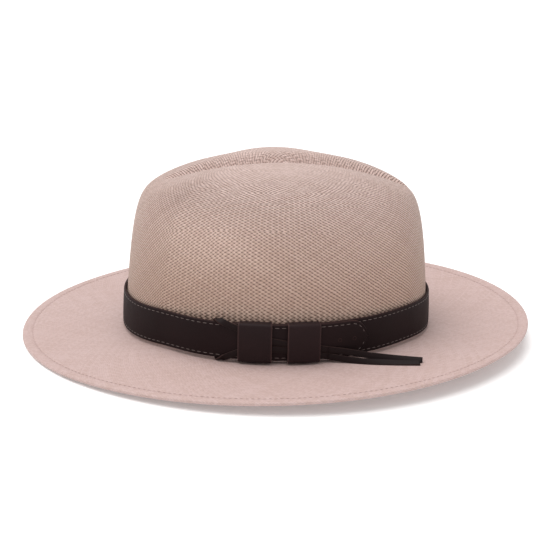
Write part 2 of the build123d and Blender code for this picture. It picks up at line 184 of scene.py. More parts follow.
def dent(x, y):
    fade = np.maximum(1 - ((y - DENT_MIDDLE_Y) / DENT_HALF_LENGTH) ** 2, 1e-9)
    across = np.minimum(np.abs(x) / (DENT_HALF_WIDTH * np.sqrt(fade)), 1)
    return DENT_DEPTH * fade * np.cos(math.pi * across / 2) ** 2


def pinch(x, y, z):
    along, up = (y - PINCH_Y) / PINCH_HALF_LENGTH, (z - PINCH_Z) / PINCH_HALF_HEIGHT
    return PINCH_DEPTH * np.exp(-along * along - up * up) * smooth_step(np.abs(x), 0, PINCH_FADE_X)


def crown_point(degrees, climb, inset=0.0):
    """A point of the crown: climb is 0 at the band and 90 at the middle of the top."""
    weight = np.abs(np.sin(np.radians(degrees))) ** END_BLEND
    plan_exponent, height_exponent = (
        side + (end - side) * weight for side, end in zip(SIDE_EXPONENTS, END_EXPONENTS)
    )
    plan, rise = profile_point(climb, plan_exponent, height_exponent)
    x, y = (plan * value for value in CROWN.point(degrees, -inset))
    z = rise * (RIDGE_HEIGHT - inset - RIDGE_FALL * (y - RIDGE_MIDDLE_Y) ** 2)
    shrink = 1 - CROWN_TAPER * z / 100
    x, y = x * shrink, y * shrink
    z = z - dent(x, y)
    x = x - np.sign(x) * pinch(x, y, z)
    return np.stack([x, y, BAND_Z + z], axis=-1)


def break_point(degrees, turn, below=0.0):
    """A point of the fillet between crown and brim: turn is 0 at the crown, 90 at the brim."""
    radius = BREAK_RADIUS + below
    x, y = CROWN.point(degrees, BREAK_RADIUS - radius * math.cos(math.radians(turn)))
    z = band_lift(degrees) - BREAK_DROP + BREAK_RADIUS - radius * math.sin(math.radians(turn))
    return np.stack([x, y, BAND_Z + z], axis=-1)


def brim_point(degrees, from_edge, below=0.0):
    """A point of the brim, by its distance in from the edge."""
    x0, y0 = CROWN.point(degrees, BREAK_RADIUS)
    x1, y1 = BRIM.point(degrees)
    share = 1 - from_edge / np.hypot(x1 - x0, y1 - y0)
    along = y1 / BRIM_HALF_LENGTH
    edge = BRIM_MEAN_LIFT + BRIM_SIDE_LIFT * (1 - along * along) + BRIM_BACK_LIFT * along
    low = band_lift(degrees) - BREAK_DROP
    z = low + (edge - low) * np.maximum(share, 0) ** 1.5
    return np.stack([x0 + (x1 - x0) * share, y0 + (y1 - y0) * share, BAND_Z + z - below], axis=-1)


def band_point(degrees, offset, height):
    """A point by its offset out from the crown and its height above the band's lower edge."""
    degrees = np.asarray(degrees, float)
    x, y = CROWN.point(degrees, offset)
    return np.stack([x, y, BAND_Z + band_lift(degrees) + height], axis=-1)


def outward(degrees):
    angle = np.radians(degrees)
    return np.stack([np.cos(angle), np.sin(angle), np.zeros_like(angle)], axis=-1)


# Mesh helpers


def make_object(name, points, faces, material, body="hat", uvs=None, values=None):
    """A smooth mesh in metres from points in millimetres, riding on a body."""
    mesh = bpy.data.meshes.new(name)
    mesh.from_pydata((np.asarray(points) * MM).tolist(), [], faces)
    mesh.shade_smooth()
    if uvs is not None:
        layer = mesh.uv_layers.new(name="UVMap")
        layer.data.foreach_set("uv", np.asarray(uvs, np.float32).ravel())
    for key, data in (values or {}).items():
        attribute = mesh.attributes.new(key, "FLOAT", "POINT")
        attribute.data.foreach_set("value", np.asarray(data, np.float32))
    mesh.materials.append(material)
    piece = bpy.data.objects.new(name, mesh)
    bpy.context.scene.collection.objects.link(piece)
    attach(piece, body)
    return piece


def grid_faces(rows, columns, wrap_rows=False, wrap_columns=True, start=0):
    """Quads between the rows of a grid of points, each row wrapping round or not."""
    faces = []
    for r in range(rows if wrap_rows else rows - 1):
        for c in range(columns if wrap_columns else columns - 1):
            r1, c1 = (r + 1) % rows, (c + 1) % columns
            faces.append((r * columns + c, r * columns + c1, r1 * columns + c1, r1 * columns + c))
    return [tuple(start + i for i in face) for face in faces]


def sweep(sections, closed=False):
    """Points and faces of a tube through equal closed sections, with flat ends unless closed."""
    rows, columns = len(sections), len(sections[0])
    faces = grid_faces(rows, columns, wrap_rows=closed)
    if not closed:
        faces.append(tuple(reversed(range(columns))))
        faces.append(tuple((rows - 1) * columns + c for c in range(columns)))
    return np.concatenate(sections), faces


def joined(shapes):
    """Several (points, faces) as one."""
    points, faces, start = [], [], 0
    for shape_points, shape_faces in shapes:
        points.append(shape_points)
        faces += [tuple(start + i for i in face) for face in shape_faces]
        start += len(shape_points)
    return np.concatenate(points), faces


def unit(vectors):
    return vectors / np.linalg.norm(vectors, axis=-1, keepdims=True)


def tangents(path):
    return unit(np.gradient(path, axis=0))


def catmull(points, per_span):
    """A smooth line through points (of any width), per_span steps between each two."""
    points = np.asarray(points, float)
    ends = np.concatenate([[2 * points[0] - points[1]], points, [2 * points[-1] - points[-2]]])
    out = []
    for a, b, c, d in zip(ends, ends[1:], ends[2:], ends[3:]):
        for t in np.arange(per_span) / per_span:
            square, cube = 2 * a - 5 * b + 4 * c - d, 3 * b - a - 3 * c + d
            out.append(0.5 * (2 * b + (c - a) * t + square * t**2 + cube * t**3))
    return np.array(out + [points[-1]])


def round_section(width, thickness, corner, per_corner=4):
    """A rounded rectangle as (across, up) pairs, going round once."""
    pairs = []
    for k, (sx, sy) in enumerate(((1, 1), (-1, 1), (-1, -1), (1, -1))):
        for i in range(per_corner):
            angle = math.radians(90 * k + 90 * i / (per_corner - 1))
            pairs.append((
                sx * (width / 2 - corner) + corner * math.cos(angle),
                sy * (thickness / 2 - corner) + corner * math.sin(angle),
            ))
    return np.array(pairs)


STRIP_CORNER = 0.35


def strip(path, normals, width, thickness, corner=STRIP_CORNER):
    """A flat strip along a path; width may change along it."""
    across = unit(np.cross(tangents(path), normals))
    up = unit(np.cross(across, tangents(path)))
    widths = np.broadcast_to(width, len(path))
    sections = []
    for point, side, rise, wide in zip(path, across, up, widths):
        pairs = round_section(wide, thickness, corner)
        sections.append(point + pairs[:, :1] * side + pairs[:, 1:] * rise)
    return sweep(sections)


STITCH_RINGS, STITCH_SIDES = 7, 8
STITCH_STAND, STITCH_DIVE = 0.35, 0.9  # how far its middle stands out and its ends dive, of its height
STITCH_BLUNT = 0.02  # of its section, left at its ends


def stitch(centre, along, up, length, width, height):
    """One stitch: a short bent bead whose ends dive into the leather."""
    across = np.cross(along, up)
    sections = []
    for t in (-1 + 2 * i / (STITCH_RINGS - 1) for i in range(STITCH_RINGS)):
        fat = math.sqrt(max(1 - abs(t) ** 3, STITCH_BLUNT))
        sink = height * STITCH_DIVE * abs(t) ** 3
        middle = centre + along * (t * length / 2) + up * (height * STITCH_STAND - sink)
        turn = np.radians(np.arange(STITCH_SIDES) * 360 / STITCH_SIDES)[:, None]
        sections.append(middle + fat * (across * np.cos(turn) * width / 2 + up * np.sin(turn) * height / 2))
    return sweep(sections)


def stitches(path, normals, pitch, length, width, height):
    """Stitches at an even pitch along a path."""
    steps = np.linalg.norm(np.diff(path, axis=0), axis=1)
    distance = np.concatenate([[0], np.cumsum(steps)])
    count = int(distance[-1] / pitch)
    places = (np.arange(count) + 0.5) * distance[-1] / count
    at = [np.interp(places, distance, path[:, k]) for k in range(3)]
    ups = [np.interp(places, distance, normals[:, k]) for k in range(3)]
    ahead = tangents(path)
    alongs = [np.interp(places, distance, ahead[:, k]) for k in range(3)]
    shapes = []
    for centre, up, along in zip(np.stack(at, -1), unit(np.stack(ups, -1)), unit(np.stack(alongs, -1))):
        shapes.append(stitch(centre, along, up, length, width, height))
    return joined(shapes)


# Materials


class Shader:
    """A material and short calls for making its nodes."""

    def __init__(self, name, **principled):
        self.material = bpy.data.materials.new(name)
        self.material.use_nodes = True
        self.tree = self.material.node_tree
        self.main = self.tree.nodes["Principled BSDF"]
        for socket, value in principled.items():
            self.main.inputs[socket.replace("_", " ")].default_value = value

    def put(self, socket, value):
        if isinstance(value, bpy.types.NodeSocket):
            self.tree.links.new(value, socket)
        else:
            socket.default_value = value

    def add(self, kind, inputs=(), **settings):
        node = self.tree.nodes.new(kind)
        for key, value in settings.items():
            setattr(node, key, value)
        for key, value in dict(inputs).items():
            self.put(node.inputs[key], value)
        return node

    def math(self, operation, a, b=0.0, c=0.0):
        return self.add("ShaderNodeMath", {0: a, 1: b, 2: c}, operation=operation).outputs[0]

    def ramp(self, value, low, high, out_low=0.0, out_high=1.0):
        inputs = {"Value": value, "From Min": low, "From Max": high, "To Min": out_low, "To Max": out_high}
        return self.add("ShaderNodeMapRange", inputs, interpolation_type="SMOOTHSTEP").outputs[0]

    def noise(self, scale, vector=None, detail=3.0, roughness=0.55, distortion=0.0):
        inputs = {"Scale": scale, "Detail": detail, "Roughness": roughness, "Distortion": distortion}
        node = self.add("ShaderNodeTexNoise", inputs)
        self.tree.links.new(vector or self.place(), node.inputs["Vector"])
        return node.outputs["Fac"]

    def place(self):
        return self.add("ShaderNodeTexCoord").outputs["Object"]

    def value(self, name):
        return self.add("ShaderNodeAttribute", attribute_name=name).outputs["Fac"]

    def mix(self, factor, a, b, blend="MIX"):
        node = self.add("ShaderNodeMix", data_type="RGBA", blend_type=blend)
        for index, value in ((0, factor), (6, a), (7, b)):
            self.put(node.inputs[index], value)
        return node.outputs[2]

    def bump(self, height, distance, strength=1.0, normal=None):
        node = self.add("ShaderNodeBump", {"Height": height, "Distance": distance, "Strength": strength})
        if normal is not None:
            self.tree.links.new(normal, node.inputs["Normal"])
        return node.outputs[0]

    def finish(self, color, normal=None, roughness=None):
        self.put(self.main.inputs["Base Color"], color)
        if normal is not None:
            self.put(self.main.inputs["Normal"], normal)
        if roughness is not None:
            self.put(self.main.inputs["Roughness"], roughness)
        return self.material


def linear(red, green, blue):
    """A colour given as sRGB values from 0 to 255."""
    shares = [value / 255 for value in (red, green, blue)]
    return tuple(((v + 0.055) / 1.055) ** 2.4 if v > 0.0393 else v / 12.92 for v in shares) + (1,)


def times(color, factor):
    """A colour made lighter or darker."""
    return [min(1, value * factor) for value in color[:3]] + [1]


CROWN_STRAND = 2.85  # spacing round the hat of the strands of one direction
BRIM_STRAND = 1.75
CROWN_SLOPE = 0.75  # of the strands on the crown
RING_STEP = 0.11  # the strands' number changes when a ring's girth has changed by this share
LINE_FROM = 0.42  # a strand's painted shade grows from here to its border
LINES_SWAP = 0.35  # turn in radians by which one direction's painted border shade takes over from the other's round the hat, as the light falls
HERRINGBONE_CLIMB = 78.0  # the top is woven in herringbone this far from its middle
STRANDS_MULTIPLE = 4  # the strands' number is a multiple of this, so that the pattern closes
WOBBLE, WOBBLE_SCALE = 0.7, 120.0  # how far strands stray from an even spacing, in strands
STRAND_ROUNDNESS = 2.4  # exponent of a strand's section
OTHER_STRANDS_FROM = 511.0  # keeps the random tones of the two directions apart
# How dark the painted shade in the holes between crossings and along the strands' borders is
HOLE_DARK, LINE_DARK = 0.5, 0.8
# From this climb to that, in metres, the painted shade in the weave's holes and lines grows from this
# strength to that on the crown
LINES_GROW = (0.03, 0.07, 0.35, 0.85)
# Strength of that painted shade everywhere, the brim too
LINES_EVERYWHERE = 0.14
CLOUD_SCALE = 14.0
TAN_FROM, TAN_TO = 0.05, 0.15  # climb in metres over which the crown's rosy top turns to tan: partly the straw's own tone, partly painted light on the top and painted shade down the sides
STRAND_TONES = 0.3
FIBRE_SCALE, FIBRE_SHOWS = 900.0, 0.14
WEAVE_DEPTH, FIBRE_DEPTH = 0.5 * MM, 0.06 * MM
BRIM_RELIEF, CROWN_RELIEF_MORE = 0.35, 0.5


def straw_material():
    """Straw in two crossing diagonal directions, over one and under one, or two and two, with painted shade
    in its holes and along its strands' borders.
    """
    s = Shader("straw", Roughness=0.62)
    s.main.inputs["Sheen Weight"].default_value = 0.1
    s.main.inputs["Sheen Roughness"].default_value = 0.4
    uv = s.add("ShaderNodeUVMap", uv_map="UVMap").outputs[0]
    split = s.add("ShaderNodeSeparateXYZ", {0: uv})
    turn, climb = split.outputs[0], split.outputs[1]
    crown = s.value("crown")
    wide, fine = CROWN_STRAND * MM, BRIM_STRAND * MM
    spacing = s.math("MULTIPLY_ADD", crown, wide - fine, fine)
    girth = s.math("DIVIDE", s.value("girth"), spacing)
    steps = s.math("ROUND", s.math("DIVIDE", s.math("LOGARITHM", girth, math.e), RING_STEP))
    count = s.math("EXPONENT", s.math("MULTIPLY", steps, RING_STEP))
    fours = s.math("ROUND", s.math("DIVIDE", count, STRANDS_MULTIPLE))
    count = s.math("MULTIPLY", fours, STRANDS_MULTIPLE)
    stray = s.math("SUBTRACT", s.noise(WOBBLE_SCALE, detail=1.0), 0.5)
    wobble = s.math("MULTIPLY", stray, WOBBLE)
    around = s.math("ADD", s.math("MULTIPLY", turn, count), wobble)
    slope = s.math("MULTIPLY_ADD", crown, CROWN_SLOPE - 1, 1.0)
    up = s.math("DIVIDE", s.math("DIVIDE", climb, spacing), slope)
    a, b = s.math("ADD", around, up), s.math("SUBTRACT", around, up)
    i, j = s.math("FLOOR", a), s.math("FLOOR", b)
    near_top = s.math("LESS_THAN", climb, HERRINGBONE_CLIMB * MM)
    doubled = s.math("MAXIMUM", near_top, s.math("SUBTRACT", 1.0, crown))
    over = s.math("ADD", doubled, 1.0)
    cycle = s.math("MULTIPLY", over, 2.0)

    def across(own, index):
        """0 along the middle of a strand and 1 at its borders."""
        return s.math("ABSOLUTE", s.math("MULTIPLY_ADD", s.math("SUBTRACT", own, index), 2.0, -1.0))

    across_a, across_b = across(a, i), across(b, j)
    step = s.math("FLOORED_MODULO", s.math("SUBTRACT", i, j), cycle)
    a_on_top = s.math("LESS_THAN", step, s.math("SUBTRACT", over, 0.5))
    on_top = s.math("ADD", s.math("MULTIPLY", across_a, a_on_top),
                    s.math("MULTIPLY", across_b, s.math("SUBTRACT", 1.0, a_on_top)))
    height = s.math("SUBTRACT", 1.0, s.math("POWER", on_top, STRAND_ROUNDNESS))
    index = s.math("ADD", s.math("MULTIPLY", i, a_on_top),
                   s.math("MULTIPLY", s.math("ADD", j, OTHER_STRANDS_FROM),
                          s.math("SUBTRACT", 1.0, a_on_top)))
    chance = s.add("ShaderNodeTexWhiteNoise", {"W": index}, noise_dimensions="1D").outputs["Value"]
    # Which direction's strand borders get the painted shade changes round the hat, following how the light
    # falls on it
    turned = s.math("MULTIPLY_ADD", turn, 2 * math.pi, LINES_SWAP)
    toward_back = s.math("MULTIPLY_ADD", s.math("SINE", turned), 0.5, 0.5)
    border_a, border_b = s.ramp(across_a, LINE_FROM, 1.0), s.ramp(across_b, LINE_FROM, 1.0)
    lines = s.math("ADD", s.math("MULTIPLY", border_a, s.math("SUBTRACT", 1.0, toward_back)),
                   s.math("MULTIPLY", border_b, toward_back))
    # Painted shade in the holes between crossings and along the strands' borders
    holes = s.math("MULTIPLY", border_a, border_b)
    painted_line_shade = s.math("MULTIPLY", lines, LINE_DARK)
    gap = s.math("MINIMUM", s.math("MULTIPLY_ADD", holes, HOLE_DARK, painted_line_shade), 1.0)
    strength = s.math("MULTIPLY", crown, s.ramp(climb, *LINES_GROW))
    painted_weave_shade = s.math("MULTIPLY", gap, s.math("ADD", strength, LINES_EVERYWHERE))
    cloud = s.noise(CLOUD_SCALE, detail=4.0)
    pale = s.mix(cloud, linear(205, 180, 177), linear(196, 169, 164))
    tan = s.mix(cloud, linear(214, 184, 168), linear(200, 168, 150))
    rosy = s.mix(cloud, linear(226, 201, 194), linear(214, 187, 179))
    # The crown's top is lighter and its sides a darker tan: partly the straw's own tone, partly painted
    # light from above and painted shade towards the band
    low = s.ramp(climb, TAN_FROM, TAN_TO)
    ground = s.mix(crown, pale, s.mix(low, rosy, tan))
    varied = s.mix(s.math("MULTIPLY", chance, STRAND_TONES), ground, linear(160, 126, 108))
    fibre = s.noise(FIBRE_SCALE, detail=2.0)
    shows = s.math("MULTIPLY", s.ramp(fibre, 0.45, 0.75), FIBRE_SHOWS)
    fibred = s.mix(shows, varied, linear(236, 214, 205))
    # The dark brown is the painted shade of the weave's holes and lines
    color = s.mix(painted_weave_shade, fibred, linear(92, 60, 46))
    weave = s.bump(height, WEAVE_DEPTH, s.math("MULTIPLY_ADD", crown, CROWN_RELIEF_MORE, BRIM_RELIEF))
    return s.finish(color, s.bump(fibre, FIBRE_DEPTH, 0.5, weave))


LEATHER_SPECULAR = 0.14
GRAIN_SCALE, CREASE_SCALE, PATCH_SCALE, SCUFF_SCALE = 1500.0, 420.0, 38.0, 95.0
GRAIN_DEPTH, CREASE_SHARE = 0.12 * MM, 0.8
PATCH_PALER, PATCH_SHOWS, PATCH_ROUGHER = 1.55, 0.55, 0.22
SCUFF_PALER, SCUFF_SHOWS, SCUFF_ROUGHER = 2.1, 0.3, 0.12


def leather_material(name, color, edge_color, roughness=0.46, grain=1.0):
    """Smooth leather with fine grain, faint scuffs and paler cut edges."""
    s = Shader(name)
    s.main.inputs["Specular IOR Level"].default_value = LEATHER_SPECULAR
    place = s.place()
    voronoi = s.add("ShaderNodeTexVoronoi", {"Vector": place, "Scale": GRAIN_SCALE}, feature="F1")
    cells = voronoi.outputs["Distance"]
    creases = s.noise(CREASE_SCALE, place, detail=6.0, roughness=0.65)
    patches = s.noise(PATCH_SCALE, place, detail=4.0)
    scuffs = s.ramp(s.noise(SCUFF_SCALE, place, detail=5.0, distortion=1.6), 0.6, 0.78)
    worn = s.mix(s.ramp(patches, 0.3, 0.75, 0, PATCH_SHOWS), color, times(color, PATCH_PALER))
    scuffed = s.mix(s.math("MULTIPLY", scuffs, SCUFF_SHOWS), worn, times(color, SCUFF_PALER))
    edged = s.mix(s.value("edge"), scuffed, edge_color)
    relief = s.math("ADD", cells, s.math("MULTIPLY", creases, CREASE_SHARE))
    surface = s.bump(relief, GRAIN_DEPTH * grain, 0.55)
    scuffed_rough = s.math("MULTIPLY_ADD", scuffs, SCUFF_ROUGHER, roughness - PATCH_ROUGHER / 2)
    rough = s.math("ADD", s.math("MULTIPLY", patches, PATCH_ROUGHER), scuffed_rough)
    return s.finish(edged, surface, rough)


THREAD_SHEEN, PLY_DEPTH = 0.25, 0.08 * MM
PLY_DARKER, SOIL_DARKER = 0.5, 0.62
THREAD_PLIES, RIBBON_RIBS = 260.0, 900.0  # scales of the wave that draws them


def thread_material(name, color, plies_scale=THREAD_PLIES):
    """Twisted thread with fine plies and a little fluff."""
    s = Shader(name, Roughness=0.72)
    s.main.inputs["Sheen Weight"].default_value = THREAD_SHEEN
    plies = s.add("ShaderNodeTexWave", {"Scale": plies_scale, "Distortion": 1.5, "Detail": 1.0})
    plies.bands_direction = "DIAGONAL"
    s.tree.links.new(s.place(), plies.inputs["Vector"])
    soil = s.noise(60.0, detail=3.0)
    shaded = s.mix(s.math("MULTIPLY", plies.outputs["Fac"], 0.3), color, times(color, PLY_DARKER))
    soiled = s.mix(s.ramp(soil, 0.4, 0.8, 0, 0.4), shaded, times(color, SOIL_DARKER))
    return s.finish(soiled, s.bump(plies.outputs["Fac"], PLY_DEPTH, 0.6))


def floor_material():
    s = Shader("pale_floor", Roughness=0.7)
    s.main.inputs["Specular IOR Level"].default_value = 0.15
    tone = s.mix(s.noise(3.0, detail=2.0), (0.93, 0.935, 0.94, 1), (0.95, 0.95, 0.95, 1))
    s.main.inputs["Emission Color"].default_value = (1, 1, 1, 1)
    s.main.inputs["Emission Strength"].default_value = FLOOR_GLOW
    return s.finish(tone)


# The straw


COLUMNS = 432
RING_LENGTH = 1.7  # about how far apart the rings of points are
TOP_CLIMB, LOW_CLIMB = 89.2, 6.0
TRIAL_CLIMBS = 500
BRIM_START = 65.0  # in from the edge, of the first ring past the break
BREAK_TURNS = (0, 22, 45, 68, 90)
# The hem's crease and roll on top of the brim, and its fold underneath, as (in from the edge, down)
HEM_ABOVE = (
    (HEM_WIDTH + 1.0, 0.0),
    (HEM_WIDTH + 0.3, 0.1),
    (HEM_WIDTH - 0.2, 0.3),
    (HEM_WIDTH - 0.7, 0.08),
    (HEM_WIDTH - 1.4, -0.12),
    (5.0, -0.2),
    (4.0, -0.22),
    (3.0, -0.22),
    (2.0, -0.16),
    (1.2, 0.0),
)
HEM_BELOW = (
    (1.2, HEM_THICKNESS),
    (3.2, HEM_THICKNESS),
    (5.2, HEM_THICKNESS),
    (HEM_WIDTH - 0.4, HEM_THICKNESS - 0.05),
    (HEM_WIDTH, 1.8),
    (HEM_WIDTH + 0.2, STRAW_THICKNESS + 0.05),
    (HEM_WIDTH + 1.0, STRAW_THICKNESS),
)
EDGE_TURNS = (20, 45, 70, 90, 110, 135, 160)


def even_climbs(inset):
    """Climbs from the top of the crown to just above the band, evenly spaced along its side."""
    trial = np.linspace(TOP_CLIMB, LOW_CLIMB, TRIAL_CLIMBS)
    degrees = np.arange(0, 360, 15.0)
    rings = np.array([crown_point(degrees, climb, inset) for climb in trial])
    steps = np.linalg.norm(np.diff(rings, axis=0), axis=2).mean(axis=1)
    distance = np.concatenate([[0], np.cumsum(steps)])
    return np.interp(np.arange(0, distance[-1], RING_LENGTH), distance, trial)


def straw_rings():
    """All rings of the straw, from the outside of its top round the brim's edge to the inside."""
    degrees = np.arange(COLUMNS) * 360.0 / COLUMNS
    outer = [crown_point(degrees, climb) for climb in even_climbs(0)]
    inner = [crown_point(degrees, climb, STRAW_THICKNESS) for climb in even_climbs(STRAW_THICKNESS)]
    fold = [break_point(degrees, turn) for turn in BREAK_TURNS]
    under_fold = [break_point(degrees, turn, STRAW_THICKNESS) for turn in BREAK_TURNS]
    brim, under, edge = [], [], []
    for from_edge in np.arange(BRIM_START, HEM_WIDTH + 1.5, -RING_LENGTH):
        brim.append(brim_point(degrees, from_edge))
        under.append(brim_point(degrees, from_edge, STRAW_THICKNESS))
    hem = [brim_point(degrees, *place) for place in HEM_ABOVE]
    radius = HEM_THICKNESS / 2
    for angle in np.radians(EDGE_TURNS):
        from_edge, below = radius * (1 - math.sin(angle)), radius * (1 - math.cos(angle))
        edge.append(brim_point(degrees, from_edge, below))
    edge += [brim_point(degrees, *place) for place in HEM_BELOW]
    on_crown = len(outer) + 1
    rings = outer + fold + brim + hem + edge + under[::-1] + under_fold[::-1] + inner[::-1]
    crown = [1.0] * on_crown + [0.0] * (len(rings) - on_crown - len(inner)) + [1.0] * len(inner)
    return np.array(rings), np.array(crown)


def straw_uvs(faces, climbs, ring_points):
    """Each face corner's share of a turn round the hat and its climb down from the top."""
    uvs = []
    for face in faces:
        shares = [(index % COLUMNS) / COLUMNS if index < ring_points else None for index in face]
        known = [share for share in shares if share is not None]
        if max(known) - min(known) > 0.5:
            shares = [share + 1 if share is not None and share < 0.5 else share for share in shares]
        middle = sum(share for share in shares if share is not None) / len(known)
        for share, index in zip(shares, face):
            uvs.append((middle if share is None else share, climbs[index]))
    return uvs


def straw_piece():
    rings, crown = straw_rings()
    top = len(rings) * COLUMNS
    bottom, last = top + 1, top - COLUMNS
    points = np.concatenate([rings.reshape(-1, 3), [rings[0].mean(axis=0)], [rings[-1].mean(axis=0)]])
    faces = [tuple(reversed(face)) for face in grid_faces(len(rings), COLUMNS)]
    faces += [(top, c, (c + 1) % COLUMNS) for c in range(COLUMNS)]
    faces += [(bottom, last + (c + 1) % COLUMNS, last + c) for c in range(COLUMNS)]
    steps = np.linalg.norm(np.diff(rings, axis=0), axis=2).mean(axis=1)
    climb = np.concatenate([[0], np.cumsum(steps)]) * MM
    girth = np.linalg.norm(rings - np.roll(rings, 1, axis=1), axis=2).sum(axis=1) * MM
    climbs = np.append(np.repeat(climb, COLUMNS), [climb[0], climb[-1]])
    values = {
        "girth": np.append(np.repeat(girth, COLUMNS), [girth[0], girth[-1]]),
        "crown": np.append(np.repeat(crown, COLUMNS), [1.0, 1.0]),
    }
    uvs = straw_uvs(faces, climbs, top)
    piece = make_object("straw_hat_body", points, faces, STRAW, uvs=uvs, values=values)
    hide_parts("straw_body")


HEM_STITCH = dict(pitch=3.4, length=2.3, width=0.42, height=0.34)


def hem_stitches():
    degrees = np.linspace(0, 360, 721)
    path = brim_point(degrees, HEM_WIDTH - 0.2, 0.15)
    normals = np.tile([0.0, 0.0, 1.0], (len(path), 1))
    piece = make_object("hem_stitches", *stitches(path, normals, **HEM_STITCH), STRAW_THREAD)
    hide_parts("hem_thread")


# The leather band

UNDERLAP_END_DEG = side_degrees(UNDERLAP_END_Y, UNDERLAP_IN)
TONGUE_RADIUS = STRAP_HEIGHT / 2
TONGUE_OUT = TONGUE_IN + STRAP_THICKNESS
TONGUE_CENTRE_Y = TONGUE_TIP_Y - TONGUE_RADIUS
TONGUE_CENTRE_DEG = side_degrees(TONGUE_CENTRE_Y, TONGUE_OUT)
TONGUE_TIP_DEG = side_degrees(TONGUE_TIP_Y, TONGUE_OUT)
ARC_PER_DEG = math.radians(CROWN.side_radius + TONGUE_OUT)


def strap_inner(degrees):
    """Offset of the band's inner face; the degrees run on past a full turn on the tongue."""
    drop = (UNDERLAP_IN - STRAP_GAP) * (1 - smooth_step(degrees, *UNDERLAP_STEP_DEG))
    climb = (TONGUE_IN - STRAP_GAP) * smooth_step(degrees - FULL_TURN, *TONGUE_STEP_DEG)
    return STRAP_GAP + drop + climb


STRAP_LEAN = 0.95  # how far the band's top leans in with the crown at the front and back
LEAN_STARTS, LEAN_FULL = 0.55, 0.95  # sines of the degrees at which it does so


def strap_lean(degrees, height):
    share = smooth_step(abs(math.sin(math.radians(degrees))), LEAN_STARTS, LEAN_FULL)
    return STRAP_LEAN * share * height / STRAP_HEIGHT


def strap_half_height(degrees):
    """Half the band's height, which shrinks in a half circle at the tongue's tip."""
    past = np.maximum((degrees - FULL_TURN - TONGUE_CENTRE_DEG) * ARC_PER_DEG, 0)
    return np.sqrt(np.maximum(TONGUE_RADIUS**2 - past**2, 0.01))


# The band's section, as distances in from its edge and how far the face lies back there
STRAP_INSETS = (0.0, 0.12, 0.4, 0.9, 1.5, 1.75, 2.0, 2.25, 2.5, 3.2, 5.0, 8.0)
STRAP_FACE_DROP = (0.75, 0.35, 0.1, 0.0, 0.02, 0.12, 0.2, 0.12, 0.02, -0.02, -0.1, -0.16)
STRAP_BACK_SHARES = (-1, -0.97, 0, 0.97, 1)
STRAP_BACK_ROUND = 0.4
NARROW_HALF_HEIGHT = 9.0  # below this the insets are spread evenly
TIP_SECTIONS = 34
TIP_PALE_AND_HIGHLIGHT, EDGE_PALE, RIM_FADE = 1.0, 0.5, 0.7  # how pale the cut edges are; round the tongue's tip the edge is paler still, a painted highlight


def strap_section(degrees):
    """The loop of (offset, height) round the band, across its middle or its narrowing tip."""
    half = float(strap_half_height(degrees))
    heights = [half - inset for inset in STRAP_INSETS]
    if half < NARROW_HALF_HEIGHT:
        places = [half * (k + 0.001) / len(STRAP_INSETS) for k in range(len(STRAP_INSETS))]
        heights = [half - min(inset, place) for inset, place in zip(STRAP_INSETS, places)]
    inner = float(strap_inner(degrees))
    outer = inner + STRAP_THICKNESS
    face = [(outer - drop, STRAP_HEIGHT / 2 + h) for drop, h in zip(STRAP_FACE_DROP, heights)]
    face += [(offset, STRAP_HEIGHT - height) for offset, height in reversed(face)]
    back = []
    for share in STRAP_BACK_SHARES:
        offset = inner + (STRAP_BACK_ROUND if abs(share) == 1 else 0)
        back.append((offset, STRAP_HEIGHT / 2 + half * share))
    return face + back


def strap_piece():
    tip = FULL_TURN + TONGUE_TIP_DEG
    round_start = FULL_TURN + TONGUE_CENTRE_DEG
    turned = np.sin(np.radians(np.linspace(0, 89, TIP_SECTIONS)))
    straight = np.arange(UNDERLAP_END_DEG, round_start, 1.0)
    sections, edges = [], []
    for degrees in np.concatenate([straight, round_start + (tip - round_start) * turned]):
        loop = strap_section(degrees)
        sections.append(np.array([
            band_point(degrees, offset - strap_lean(degrees, height), height) for offset, height in loop
        ]))
        # Round the tongue's tip the cut edge gets a painted highlight on top of its own paleness
        pale = TIP_PALE_AND_HIGHLIGHT if degrees > round_start else EDGE_PALE
        rim = [pale, RIM_FADE * pale]
        edges += rim + [0.0] * (2 * len(STRAP_INSETS) - 4) + rim[::-1]
        edges += [pale, 0, 0, 0, pale]
    points, faces = sweep(sections)
    faces = [tuple(reversed(face)) for face in faces]
    piece = make_object("leather_strap", points, faces, BAND_LEATHER, values={"edge": edges})
    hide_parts("hat_strap")


STITCHES_START = 30.0  # degrees past the covered end, where the band comes out from under the tongue
STITCH_ROWS = (
    ("strap_stitches_upper", "strap_thread_upper", STRAP_HEIGHT - STITCH_INSET),
    ("strap_stitches_lower", "strap_thread_lower", STITCH_INSET),
)


TONGUE_ARC_DEG, TONGUE_ARC_POINTS = 88, 40


def tongue_arc_stitches():
    """The half circle of stitches round the tongue's tip."""
    radius = TONGUE_RADIUS - STITCH_INSET
    around = np.radians(np.linspace(TONGUE_ARC_DEG, -TONGUE_ARC_DEG, TONGUE_ARC_POINTS))
    degrees = TONGUE_CENTRE_DEG + radius * np.cos(around) / ARC_PER_DEG
    arc = band_point(degrees, TONGUE_OUT - STITCH_SINK, STRAP_HEIGHT / 2 + radius * np.sin(around))
    return stitches(arc, outward(degrees), STITCH_PITCH, STITCH_LENGTH, *STITCH_SIZE)


